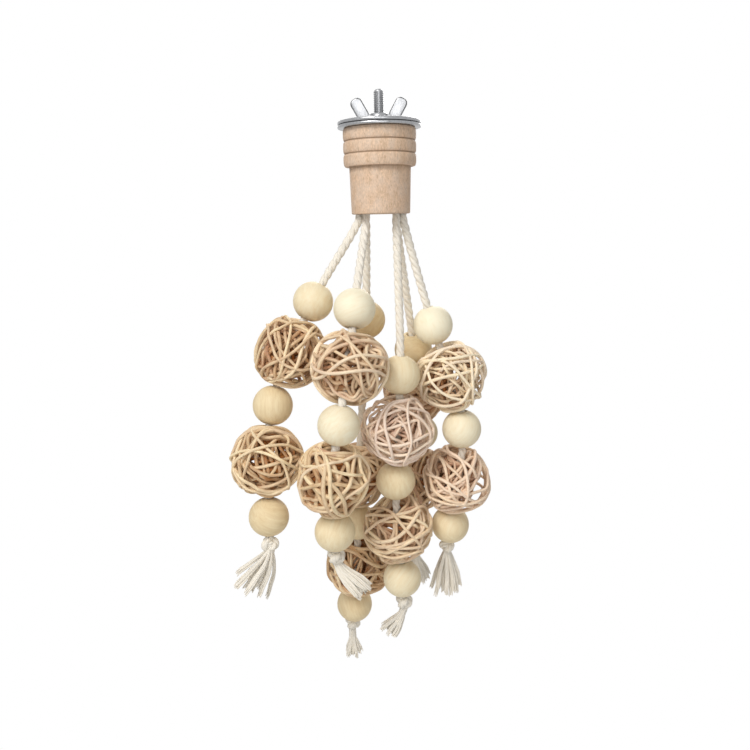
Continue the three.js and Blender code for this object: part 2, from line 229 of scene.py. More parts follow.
class ChewToyHardware(bpy.types.PropertyGroup):
    """Sizes and colour of the bolt, washers and wing nut."""

    bolt: length_of("Bolt width", "Width over the thread", 4.0)
    pitch: length_of("Pitch", "Distance from one thread to the next", 0.7)
    washer: length_of("Washer width", "Width of a washer", 33.0)
    wing_width: length_of("Wing width", "Width of a wing of the nut", 4.8)
    wing_plate: length_of("Wing thickness", "Thickness of a wing of the nut", 1.9)
    wing_foot: length_of("Wing foot", "Height of a wing's foot at the hub", 2.4)
    wing_lean: bpy.props.FloatProperty(
        name="Wing lean", description="How far a wing leans outwards", subtype="ANGLE",
        default=math.radians(30),
    )
    colour: colour_of("Zinc", "Colour of the zinc", 160, 161, 163)


class ChewToySettings(bpy.types.PropertyGroup):
    """All the toy's settings."""

    cords: bpy.props.PointerProperty(type=ChewToyCords)
    beads: bpy.props.PointerProperty(type=ChewToyBeads)
    balls: bpy.props.PointerProperty(type=ChewToyBalls)
    block: bpy.props.PointerProperty(type=ChewToyBlock)
    hardware: bpy.props.PointerProperty(type=ChewToyHardware)


def add_node(tree, kind, sources=(), **values):
    """A shader node with values in its sockets, and sources joined to its first sockets."""
    node = tree.nodes.new("ShaderNode" + kind)
    for socket, value in values.items():
        node.inputs[socket].default_value = value
    for source, socket in zip(sources, node.inputs):
        tree.links.new(source, socket)
    return node


class Finish:
    """A material under the making, with short ways to add its nodes and join them."""

    def __init__(self, name, roughness, shine=0.25, **skin):
        material = bpy.data.materials.new(name)
        material.use_nodes = True
        self.material, self.tree = material, material.node_tree
        self.skin = self.tree.nodes["Principled BSDF"].inputs
        self.skin["Roughness"].default_value = roughness
        self.skin["Specular IOR Level"].default_value = shine
        for socket, value in skin.items():
            self.skin[socket.replace("_", " ")].default_value = value

    def add(self, kind, *sources, **values):
        return add_node(self.tree, kind, sources, **values)

    def attribute(self, name):
        source = self.add("Attribute")
        source.attribute_name = name
        return source.outputs["Vector"]

    def tone_and_shade(self):
        """The three shares of tone, and of painted shade on some pieces, that each point of the
        piece carries.
        """
        return self.add("SeparateXYZ", self.attribute("tone_and_shade")).outputs

    def noise(self, *stretch, along=None, detail=3.0, roughness=0.55, distortion=0.0):
        """Noise stretched to millimetres along the object's axes, or along an attribute's."""
        place = self.attribute(along) if along else self.add("TexCoord").outputs["Object"]
        scaled = self.add("Mapping", place, Scale=[1 / (MM * s) for s in stretch])
        node = self.add(
            "TexNoise", scaled.outputs[0], Scale=1.0, Detail=detail, Roughness=roughness,
            Distortion=distortion,
        )
        return node.outputs["Fac"]

    def spread(self, value, to_low, to_high, low=0.3, high=0.7):
        """A value from low to high moved to the range from to_low to to_high."""
        node = self.add("MapRange", value)
        for socket, number in zip(node.inputs[1:5], (low, high, to_low, to_high)):
            socket.default_value = number
        return node.outputs[0]

    def sum_of(self, first, *others):
        for other in others:
            first = self.add("Math", first, other).outputs[0]
        return first

    def ramp(self, value, *stops):
        """A colour from a value, through stops of a place and a colour."""
        node = self.add("ValToRGB", value)
        marks = node.color_ramp.elements
        while len(marks) < len(stops):
            marks.new(0.5)
        for mark, (place, colour) in zip(marks, stops):
            mark.position = place
            mark.color = colour
        return node.outputs["Color"]

    def mix(self, first, second, value, most=1.0, low=0.0, high=1.0):
        """Turns one colour to another, by up to most, as a value goes from low to high."""
        node = self.add("Mix", self.spread(value, 0.0, most, low, high))
        node.data_type = "RGBA"
        self.tree.links.new(first, node.inputs[6])
        node.inputs[7].default_value = second
        return node.outputs[2]

    def coat(self, colour, height, depth, strength, roughness=None):
        """The material with its colour, its relief of up to depth millimetres and roughness."""
        bump = self.add("Bump", Strength=strength, Distance=depth * MM)
        joins = [(colour, self.skin["Base Color"]), (height, bump.inputs["Height"])]
        joins.append((bump.outputs["Normal"], self.skin["Normal"]))
        if roughness:
            joins.append((roughness, self.skin["Roughness"]))
        for source, socket in joins:
            self.tree.links.new(source, socket)
        return self.material


def shade(colour, *shares):
    """A colour darkened, or lightened above 1, by one share or by one each for red to blue."""
    return (*[min(1.0, c * s) for c, s in zip(colour[:3], shares * 3)], 1.0)


def rattan_finish(balls):
    """Peeled rattan: long pale fibres, brown streaks and a dull shine, not alike on any turn."""
    made = Finish("peeled_rattan", 0.6)
    # The first share, tone, also carries the painted shade of the canes deep inside each ball.
    tone, pink, white = made.tone_and_shade()
    fibres = made.noise(0.22, 0.22, 5.0, along="straight", detail=4.0, roughness=0.65)
    patches = made.noise(2.2, 2.2, 7.0, along="straight", detail=2.0)
    specks = made.noise(0.5, 0.5, 1.6, along="straight", detail=2.0)
    share = made.sum_of(tone, made.spread(fibres, -0.16, 0.16), made.spread(patches, -0.2, 0.2))
    middle = [(a + b) / 2 for a, b in zip(balls.pale, balls.brown)]
    cane = made.ramp(share, (0.0, balls.brown), (0.5, middle), (1.0, balls.pale))
    cane = made.mix(cane, balls.pink, pink, 0.75)
    cane = made.mix(cane, (1, 1, 1, 1), white, 0.35)
    cane = made.mix(cane, shade(balls.brown, 0.6), specks, 0.45, 0.62, 0.74)
    return made.coat(cane, fibres, 0.12, 0.5, made.spread(fibres, 0.5, 0.72))


def bead_finish(beads):
    """Pale unvarnished wood: soft growth lines and fine pores along each bead's own grain."""
    made = Finish("pale_bead_wood", 0.55)
    lines = made.noise(1.1, 3.0, 18.0, along="grain", detail=4.0, roughness=0.6, distortion=0.4)
    pores = made.noise(0.2, 0.2, 2.2, along="grain", roughness=0.6)
    waves, dots = made.spread(lines, -0.16, 0.16), made.spread(pores, -0.07, 0.07)
    share = made.sum_of(made.tone_and_shade()[0], waves, dots)
    wood = made.ramp(share, (0.0, beads.deep), (0.5, beads.middle), (1.0, beads.pale))
    return made.coat(wood, pores, 0.05, 0.5, made.spread(lines, 0.48, 0.62))


def beech_finish(block):
    """Turned beech: upright grain, short ray flecks and painted shade in its turned grooves."""
    made = Finish("turned_beech", 0.62)
    bands = made.noise(2.2, 5.0, 36.0, distortion=0.6)
    clouds = made.noise(3.6, 3.6, 6.0, detail=2.0)
    flecks = made.noise(0.5, 0.5, 1.15, detail=2.5, roughness=0.6)
    pores = made.noise(0.22, 0.22, 0.9, roughness=0.6)
    base = block.colour
    pale, deep = shade(base, 1.12, 1.15, 1.2), shade(base, 0.72, 0.65, 0.58)
    wood = made.ramp(bands, (0.28, shade(base, 0.88)), (0.5, base), (0.75, pale))
    for colour, value, most, low, high in (
        (shade(base, 1.06, 1.17, 1.34), clouds, 0.75, 0.4, 0.62),
        (shade(pale, 1.16), flecks, 0.65, 0.5, 0.66),
        (deep, flecks, 0.68, 0.44, 0.28),
        (shade(deep, 0.8), pores, 0.35, 0.58, 0.72),
        # Painted shade in the grooves, the corner under the head and the lower rim.
        (shade(deep, 0.55), made.tone_and_shade()[0], 0.65, 0.0, 1.0),
    ):
        wood = made.mix(wood, colour, value, most, low, high)
    return made.coat(wood, pores, 0.06, 0.6, made.spread(flecks, 0.7, 0.52))


def cotton_finish(cords):
    """Soft spun cotton: fine fibres along each ply, and a little dust in random patches."""
    made = Finish("spun_cotton", 0.95, Sheen_Weight=0.15, Sheen_Roughness=0.5)
    fibres = made.noise(0.16, 0.16, 1.6, along="straight", detail=4.0, roughness=0.65)
    slubs = made.noise(1.2, 1.2, 3.0, along="straight", detail=2.0)
    fine, soft = made.spread(fibres, -0.16, 0.16), made.spread(slubs, -0.14, 0.14)
    white = cords.colour
    dusty, clean = shade(white, 0.8, 0.78, 0.72), shade(white, 1.05)
    share = made.sum_of(made.tone_and_shade()[0], fine, soft)
    cotton = made.ramp(share, (0.0, dusty), (0.5, white), (1.0, clean))
    return made.coat(cotton, made.sum_of(fibres, slubs), 0.03, 0.5)


def glue_finish():
    """Dried wood glue that has soaked into the cord ends."""
    made = Finish("dried_glue", 0.38, 0.5)
    runs = made.noise(1.2, 1.2, 2.0)
    glue = made.ramp(runs, (0.3, paint(196, 178, 132)), (0.7, paint(230, 219, 186)))
    return made.coat(glue, runs, 0.3, 0.6)


def zinc_finish(hardware):
    """Bright zinc: cloudy spangle, fine rubbed marks, duller patches and painted dark edge
    reflections.
    """
    made = Finish("bright_zinc", 0.28, 0.5, Metallic=1.0)
    clouds = made.noise(2.6, 2.6, 2.6, detail=4.0, roughness=0.6)
    marks = made.noise(0.3, 3.0, 1.2, roughness=0.7)
    base = hardware.colour
    zinc = made.ramp(clouds, (0.3, shade(base, 0.86)), (0.7, shade(base, 1.06)))
    # Painted dark reflection on the wing nut's edges.
    zinc = made.mix(zinc, shade(base, 0.3), made.tone_and_shade()[0])
    dull = made.spread(made.sum_of(clouds, marks), 0.2, 0.4, 0.7, 1.3)
    return made.coat(zinc, marks, 0.02, 0.4, dull)


def linked(name, data):
    """A new object with its mesh, curve, lamp or camera, in the scene."""
    made = bpy.data.objects.new(name, data)
    bpy.context.scene.collection.objects.link(made)
    return made


def piece_of(name, mesh, material, node, body=None):
    """A mesh as a piece of the toy that stands for a CAD node and rides on a body."""
    mesh.name = name
    mesh.materials.append(material)
    made = linked(name, mesh)
    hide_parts(node)
    if body:
        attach(made, body)
    return made


def mesh_of(bm, sharp=35.0):
    """A bmesh as a smooth mesh with creases where it turns more than sharp degrees."""
    mesh = bpy.data.meshes.new("shape")
    bm.to_mesh(mesh)
    bm.free()
    mesh.shade_smooth()
    mesh.set_sharp_from_angle(angle=math.radians(sharp))
    return mesh


def mark(mesh, name, rows):
    """Gives each point of a mesh its row of three values, as a named attribute."""
    values = mesh.attributes.new(name, "FLOAT_VECTOR", "POINT").data
    values.foreach_set("vector", np.ravel(rows))


def set_on_cord(mesh, place, axis):
    """Moves a mesh that was made about Z to its place on a cord."""
    turn = UP.rotation_difference(axis).to_matrix().to_4x4()
    mesh.transform(Matrix.Translation(place) @ turn)


def along_of(points):
    """How far along a line each of its points is."""
    return np.append(0, np.cumsum(np.linalg.norm(np.diff(points, axis=0), axis=1)))


def swept(runs, sides):
    """A mesh of round lengths swept along runs of (points, half widths, tone and shade, closed).

    Two attributes go with it: tone and painted shade, and straight, the place on the same length
    laid out straight.
    """
    curve = bpy.data.curves.new("swept", "CURVE")
    curve.dimensions = "3D"
    curve.bevel_depth = 1.0
    curve.bevel_resolution = (sides - 4) // 2
    curve.use_fill_caps = True
    turn = np.arange(sides) / sides * FULL_TURN
    ring = np.column_stack([np.cos(turn), np.sin(turn), np.zeros(sides)])
    run_shift = 0.37
    straight, dyes = [], []
    for number, (points, halves, tone_and_shade, closed) in enumerate(runs):
        points, halves, count = np.asarray(points, float), np.asarray(halves, float), len(points)
        line = curve.splines.new("POLY")
        line.points.add(count - 1)
        line.points.foreach_set("co", np.column_stack([points, np.ones(count)]).ravel())
        line.points.foreach_set("radius", halves)
        line.use_cyclic_u = closed
        # An open length starts with the rings of its two cut ends.
        order = np.append([] if closed else [count - 1, 0], np.arange(count)).astype(int)
        laid = ring * halves[order][:, None, None]
        laid[:, :, 2] = (along_of(points)[order] + number * run_shift)[:, None]
        straight.append(laid.reshape(-1, 3))
        dyes.append(np.tile(tone_and_shade, (len(order) * sides, 1)))
    carrier = linked("swept", curve)
    depsgraph = bpy.context.evaluated_depsgraph_get()
    mesh = bpy.data.meshes.new_from_object(carrier.evaluated_get(depsgraph))
    bpy.data.objects.remove(carrier)
    bpy.data.curves.remove(curve)
    mark(mesh, "straight", np.concatenate(straight))
    mark(mesh, "tone_and_shade", np.concatenate(dyes))
    mesh.shade_smooth()
    return mesh


def spun(profile, steps, turns=1, rise=0.0):
    """A bmesh of (radius, height) points spun round Z, once or up a screw by rise a step."""
    bm = bmesh.new()
    points = [bm.verts.new((r, 0, z)) for r, z in profile]
    edges = [bm.edges.new(pair) for pair in zip(points, points[1:])]
    bmesh.ops.spin(
        bm, geom=points + edges, cent=(0, 0, 0), axis=(0, 0, 1), dvec=(0, 0, rise),
        angle=FULL_TURN * turns, steps=steps, use_merge=not rise,
    )
    bmesh.ops.remove_doubles(bm, verts=bm.verts, dist=MM / 1000)
    bmesh.ops.recalc_face_normals(bm, faces=bm.faces)
    return bm


def strand_of(letter):
    """A cord's top, and the middles and upward axes of the beads and balls on it, in metres."""
    strand = STRANDS[letter]
    ring, corner = (CORD_WIDTH + CORD_SIDE_GAP) / math.sqrt(3), math.radians(strand.corner)
    aside = strand.hole * HOLE_SPACING / 2 + ring * math.cos(corner)
    top = Vector((aside, ring * math.sin(corner), -BLOCK_HEIGHT - MOUTH_RISE))
    # A bead seats in the opening of a ball, a step from its middle.
    ball, bead = BALL_WIDTH / 2, BEAD_WIDTH / 2
    seat = math.asin(PORT_WIDTH / BALL_WIDTH) - BEND
    within = (bead + SEAT_GAP) ** 2 - (ball * math.sin(seat)) ** 2
    step = ball * math.cos(seat) + math.sqrt(within)
    places = []
    for i, spread in enumerate(strand.spread):
        right, back = [share * (BALL_WIDTH + STRAND_GAP) for share in spread]
        if i:
            reach = step + (strand.bare if i == 1 else 0)
            last = places[-1]
            fall = math.sqrt(reach**2 - (right - last.x) ** 2 - (back - last.y) ** 2)
            height = last.z - fall
        else:
            height = -BLOCK_HEIGHT - CORD_DROP - strand.lower * step
        places.append(Vector((right, back, height)))
    top, places = top * MM, [place * MM for place in places]
    # The cord runs straight through a bead and bends inside a ball.
    end = places[-1] + (places[-1] - places[-2]).normalized()
    axes = []
    for i, (before, place, after) in enumerate(zip([top, *places], places, [*places[1:], end])):
        axis = before - after
        if i % 2 == 0:
            axis = (before - place).normalized() + (place - after).normalized()
        axes.append(axis.normalized())
    return top, places, axes


def smooth_line(stops, gap):
    """Points about gap apart on one smooth line through stops."""
    ends = [stops[0] * 2 - stops[1], *stops, stops[-1] * 2 - stops[-2]]
    line = []
    for before, start, stop, after in zip(ends, ends[1:], ends[2:], ends[3:]):
        steps = (start - before, stop - start, after - stop)
        a, b, c = [max(step.length, 1e-9) ** 0.5 for step in steps]
        leave = ((start - before) / a - (stop - before) / (a + b) + (stop - start) / b) * b
        arrive = ((stop - start) / b - (after - start) / (b + c) + (after - stop) / c) * b
        count = max(3, round((stop - start).length / gap) + 1)
        line += interpolate_bezier(start, start + leave / 3, stop - arrive / 3, stop, count)[:-1]
    return [*line, stops[-1]]


def even_line(points, gap):
    """The same line with its points an even distance apart."""
    points = np.array([tuple(p) for p in points])
    along = along_of(points)
    marks = np.linspace(0, along[-1], max(4, round(along[-1] / gap) + 1))
    return np.column_stack([np.interp(marks, along, points[:, i]) for i in range(3)])


def twisted(points, width, lay, tone_and_shade, start=0.0, closed=False):
    """Runs of three plies that twist round evenly spaced points, for a cord of given widths."""
    plies, ply_share = 3, 0.56
    half = np.broadcast_to(width, len(points)) / 2 * ply_share
    ring = (width / 2 - half)[:, None]
    ahead = np.roll(points, -1, axis=0) - points
    if not closed:
        ahead[-1] = ahead[-2]
    ahead /= np.linalg.norm(ahead, axis=1)[:, None]
    # Any direction that no cord runs along will do to start from.
    side = np.cross(ahead[0], (0, 0.99, 0.14))
    sides = []
    for tangent in ahead:
        side = side - tangent * (side @ tangent)
        side = side / np.linalg.norm(side)
        sides.append(side)
    sides = np.array(sides)
    others = np.cross(ahead, sides)
    along = along_of(points)
    if closed:
        # The plies of a ring go round it a whole number of times.
        total = along[-1] + np.linalg.norm(points[-1] - points[0])
        lay = total / max(1, round(total / lay))
    runs = []
    for ply in range(plies):
        angle = ((start - along / lay + ply / plies) * FULL_TURN)[:, None]
        line = points + ring * (np.cos(angle) * sides + np.sin(angle) * others)
        runs.append((line, half, tone_and_shade, closed))
    return runs


def cord_line(letter, cords, beads):
    """The cord's centreline, from its root in the block to the lower end of the last bead."""
    top, places, axes = strand_of(letter)
    mouth = top + UP * MOUTH_RISE * MM
    reach = math.sqrt(beads.width**2 - beads.bore**2) / 2
    stops = [mouth + UP * cords.root, mouth, top]
    for place, axis in list(zip(places, axes))[::2]:
        stops += [place + axis * reach, place - axis * reach]
    rough, fine = 2.0 * MM, 0.62 * MM
    return even_line(smooth_line(stops, rough), fine)


def add_camera(scene):
    """A close camera that looks down a little, with a slight roll."""
    camera = scene.camera = linked("camera", bpy.data.cameras.new("camera"))
    camera.data.sensor_width, camera.data.lens = 36.0, 35.52
    camera.data.clip_start, camera.data.clip_end = 0.01, 20.0
    eye, dip, roll = Vector((-0.0039, -0.306, -0.036)), math.radians(11.7), math.radians(1.3)
    right, ahead = Vector((1, 0, 0)), Vector((0, math.cos(dip), -math.sin(dip)))
    over = right.cross(ahead)
    across = right * math.cos(roll) - over * math.sin(roll)
    upright = right * math.sin(roll) + over * math.cos(roll)
    turn = Matrix((across, upright, -ahead)).transposed().to_4x4()
    camera.matrix_world = Matrix.Translation(eye) @ turn


def lit_or_seen(tree, lit, seen, output):
    """Joins a shader for rays that light a surface and one for rays seen, or mirrored."""
    path = add_node(tree, "LightPath").outputs
    share = path["Is Camera Ray"]
    for other in ("Is Glossy Ray", "Is Transmission Ray"):
        most = add_node(tree, "Math", (share, path[other]))
        most.operation = "MAXIMUM"
        share = most.outputs[0]
    mixed = add_node(tree, "MixShader", (share, lit.outputs[0], seen.outputs[0]))
    tree.links.new(mixed.outputs[0], tree.nodes[output].inputs[0])


class CHEWTOY_OT_stage(bpy.types.Operator):
    """Sets up the camera, the soft light and the pale floor"""

    bl_idname = "chewtoy.stage"
    bl_label = "Stage"

    def execute(self, context):
        scene = context.scene
        scene.view_settings.view_transform = "Standard"
        add_camera(scene)
        middle = Vector((0, 0, -0.11))
        for name, place, size, power, colour in (
            ("key_light", (-0.37, -0.62, 0.58), 0.42, 6.2, (1.0, 0.985, 0.96)),
            ("front_light", (0.05, -0.95, 0.16), 0.5, 2.2, (1.0, 1.0, 1.0)),
            ("back_light", (0.15, 0.85, 0.35), 0.6, 5.5, (1.0, 0.98, 0.95)),
        ):
            lamp = bpy.data.lights.new(name, "AREA")
            lamp.size, lamp.energy, lamp.color = size, power, colour
            light = linked(name, lamp)
            light.location = place
            light.rotation_euler = (middle - Vector(place)).to_track_quat("-Z", "Y").to_euler()

        world = bpy.data.worlds.new("soft_room")
        scene.world = world
        world.use_nodes = True
        tree = world.node_tree
        soft = tree.nodes["Background"]
        soft.inputs["Color"].default_value = (1.0, 0.99, 0.975, 1)
        soft.inputs["Strength"].default_value = 0.24
        seen = add_node(tree, "Background", Color=(1, 1, 1, 1))
        lit_or_seen(tree, soft, seen, "World Output")

        floor_drop = 0.09
        bm = bmesh.new()
        bmesh.ops.create_circle(bm, cap_ends=True, segments=96, radius=3.0)
        bmesh.ops.translate(bm, verts=bm.verts, vec=(0, 0, CAD_BOX[0].z - floor_drop))
        floor = linked("floor", mesh_of(bm))
        pale = Finish("pale_floor", 0.9, 0.1, Base_Color=(0.7, 0.7, 0.69, 1))
        skin = pale.tree.nodes["Principled BSDF"]
        lit_or_seen(pale.tree, skin, pale.add("Emission"), "Material Output")
        floor.data.materials.append(pale.material)
        return {"FINISHED"}


def knot_runs(cords, place, hang, rng):
    """An overhand knot pulled tight: three lobes of cord that pass over and under each other."""
    steps, lump_dye, end_dye = 120, (0.42, 0, 0), (0.45, 0, 0)
    t = np.linspace(0, FULL_TURN, steps, endpoint=False)
    shape = np.column_stack([
        np.sin(t) + 2 * np.sin(2 * t), np.cos(t) - 2 * np.cos(2 * t), -np.sin(3 * t),
    ])
    width, lay, gap = cords.width * 0.98, cords.lay * 0.6, 0.5 * MM
    room = np.array([cords.knot_width, cords.knot_width, cords.knot_height]) - width
    shape *= room / (shape.max(0) - shape.min(0))
    turn = Matrix.Rotation(rng.uniform(0, 6), 3, "Z")
    turn = UP.rotation_difference(-hang).to_matrix() @ turn
    line = even_line([place + turn @ Vector(p) for p in [*shape, shape[0]]], gap)[:-1]
    runs = twisted(line, width, lay, lump_dye, closed=True)
    # The two short ends that enter the lump from the bead and leave it for the frayed end.
    end_width = width * 1.15
    for way in (1, -1):
        reach = cords.knot_height / 2 * way
        ends = [place - hang * reach * 0.2, place - hang * (reach + way * 0.2 * MM)]
        runs += twisted(even_line(ends, gap), end_width, lay, end_dye)
    return runs


def tail_runs(strand, cords, place, hang, rng):
    """Loose yarns that leave the knot together, part into soft locks and splay apart."""
    lean = Vector((*strand.lean, -1)).normalized()
    side = lean.orthogonal().normalized()
    other = lean.cross(side)
    # The yarns start a little inside the knot, which hides the first of their length.
    inside, hidden, thin_from, points = 0.4 * MM, 1.4 * MM, 0.7, 22
    start = place + hang * (cords.knot_height / 2 - inside)
    reach = strand.length * MM + hidden
    t = np.linspace(0, 1, points)
    loose = np.maximum(0, t - strand.gather) / (1 - strand.gather)
    opened = loose * (1.45 - 0.45 * loose)
    sway, bow = 0.16 * MM * loose, (1 - t) ** 2 * t * 0.6
    thinned = 1.0 - 0.65 * np.maximum(0, (t - thin_from) / (1 - thin_from)) ** 2
    runs = []
    for i in range(cords.locks):
        # The cord parts into locks, which spread soon and then hang side by side.
        lock_away = i * GOLDEN_ANGLE + rng.uniform(-0.3, 0.3)
        lock_out = math.sqrt((i + 0.5) / cords.locks)
        lock_reach = reach * rng.uniform(0.86, 1.0) * (1.0 - 0.06 * lock_out**2)
        splay = strand.fan * rng.uniform(0.88, 1.12)
        pitch, phase = rng.uniform(7.0, 12.0) * MM, rng.uniform(0, 6.28)
        tone = rng.uniform(0.34, 0.56)
        from_middle = (cords.width * 0.34 + lock_reach * splay * opened) * lock_out
        turn = FULL_TURN * t * lock_reach / pitch + phase
        for k in range(cords.yarns):
            twist = k * GOLDEN_ANGLE + rng.uniform(-0.4, 0.4) + 1.6 * t
            yarn_out = cords.yarn * 0.62 * math.sqrt((k + 0.2) / cords.yarns)
            from_lock = yarn_out * (1 + 0.9 * loose**2)
            half = cords.yarn / 2 * rng.uniform(0.85, 1.15)
            yarn_reach = lock_reach * rng.uniform(0.94, 1.0)
            line = np.outer(t, lean) + np.outer(bow, hang - lean)
            line = np.array(start) + line * yarn_reach
            for way, wave in ((side, np.cos), (other, np.sin)):
                out = from_middle * wave(lock_away) + from_lock * wave(twist)
                line += np.outer(out + sway * wave(turn), way)
            tone_and_shade = (tone + rng.uniform(-0.06, 0.06), 0, 0)
            runs.append((line, half * thinned, tone_and_shade, False))
    return runs


class CHEWTOY_OT_cords(bpy.types.Operator):
    """Makes the twisted cords with their knots and frayed ends"""

    bl_idname = "chewtoy.cords"
    bl_label = "Cords, knots and frayed ends"

    def execute(self, context):
        settings = context.scene.chew_toy
        cords, beads = settings.cords, settings.beads
        cotton = cotton_finish(cords)
        for number, letter in enumerate(STRANDS):
            rng = random.Random(number + 11)
            body = f"strand_{letter}"
            top, _, axes = strand_of(letter)
            route = cord_line(letter, cords, beads)
            tone_and_shade = (rng.uniform(0.42, 0.56), 0.0, 0.0)
            # The hole squeezes the cord, which swells again just under the block.
            swell = 3 * MM
            free = np.clip((top.z - route[:, 2]) / swell, 0, 1)
            widths = cords.squeezed + (cords.width - cords.squeezed) * free
            mesh = swept(twisted(route, widths, cords.lay, tone_and_shade, start=rng.random()), sides=10)
            name = f"twisted_cord_{letter}"
            cord = piece_of(name, mesh, cotton, f"cord_{letter}")
            hang = -axes[-1]
            place = Vector(route[-1]) + hang * (SEAT_GAP * MM + cords.knot_height / 2)
            knot = swept(knot_runs(cords, place, hang, rng), sides=8)
            tail = swept(tail_runs(STRANDS[letter], cords, place, hang, rng), sides=10)
            pieces = (("overhand_knot", knot, "knot"), ("frayed_yarns", tail, "frayed_end"))
            ends = [
                piece_of(f"{name}_{letter}", mesh, cotton, f"{node}_{letter}", body)
                for name, mesh, node in pieces
            ]
            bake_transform(cord)
        return {"FINISHED"}


class CHEWTOY_OT_beads(bpy.types.Operator):
    """Turns the pale wooden beads, each with its bore and its own grain"""

    bl_idname = "chewtoy.beads"
    bl_label = "Wooden beads"

    def execute(self, context):
        beads = context.scene.chew_toy.beads
        wood = bead_finish(beads)
        radius, bore, rim, rows = beads.width / 2, beads.bore / 2, 0.35 * MM, 36
        first = math.asin((bore + rim) / radius)
        angles = [first + (math.pi - 2 * first) * i / rows for i in range(rows + 1)]
        outside = [(radius * math.sin(a), radius * math.cos(a)) for a in angles]
        # The rounded edge of the bore, as shares of its rim inwards and downwards.
        edge = ((0.0, 1.6), (0.08, 0.8), (0.4, 0.1))
        upper = [(bore + inward * rim, outside[0][1] - down * rim) for inward, down in edge]
        lower = [(r, -z) for r, z in reversed(upper)]
        profile = [*upper, *outside, *lower, upper[0]]
        for number, letter in enumerate(STRANDS):
            _, places, axes = strand_of(letter)
            for i in (0, 2, 4):
                name = f"{letter}{i // 2 + 1}"
                rng = random.Random(number * 10 + i)
                bm = spun(profile, steps=56)
                bmesh.ops.scale(bm, vec=(1, 1, rng.uniform(0.975, 1.0)), verts=bm.verts)
                mesh = mesh_of(bm, sharp=60)
                lean = Vector([rng.gauss(0, 1) for _ in range(3)])
                along = UP.rotation_difference(lean).to_matrix()
                shift = Vector([rng.uniform(0, 0.3) for _ in range(3)])
                mark(mesh, "grain", [along @ v.co + shift for v in mesh.vertices])
                mark(mesh, "tone_and_shade", [(BEAD_TONES_AND_SHADE[name], 0.0, 0.0)] * len(mesh.vertices))
                set_on_cord(mesh, places[i], axes[i])
                node = f"bead_{name}"
                piece_of(f"wooden_{node}", mesh, wood, node, node)
        return {"FINISHED"}


def room_for_cord(route, place, axis, width, balls):
    """Heights in a ball, and how wide it stays open there for the cord as the ball turns."""
    away = route - np.array(place)
    high = away @ np.array(axis)
    aside = np.linalg.norm(away - high[:, None] * np.array(axis), axis=1)
    levels = 32
    heights = np.linspace(-balls.width / 2, balls.width / 2, levels)
    near = np.abs(high - heights[:, None]) < balls.width / levels * 2
    reach = np.where(near, aside, 0).max(axis=1) + width / 2 + SEAT_GAP * MM
    return heights, np.maximum(reach, balls.opening / 2)


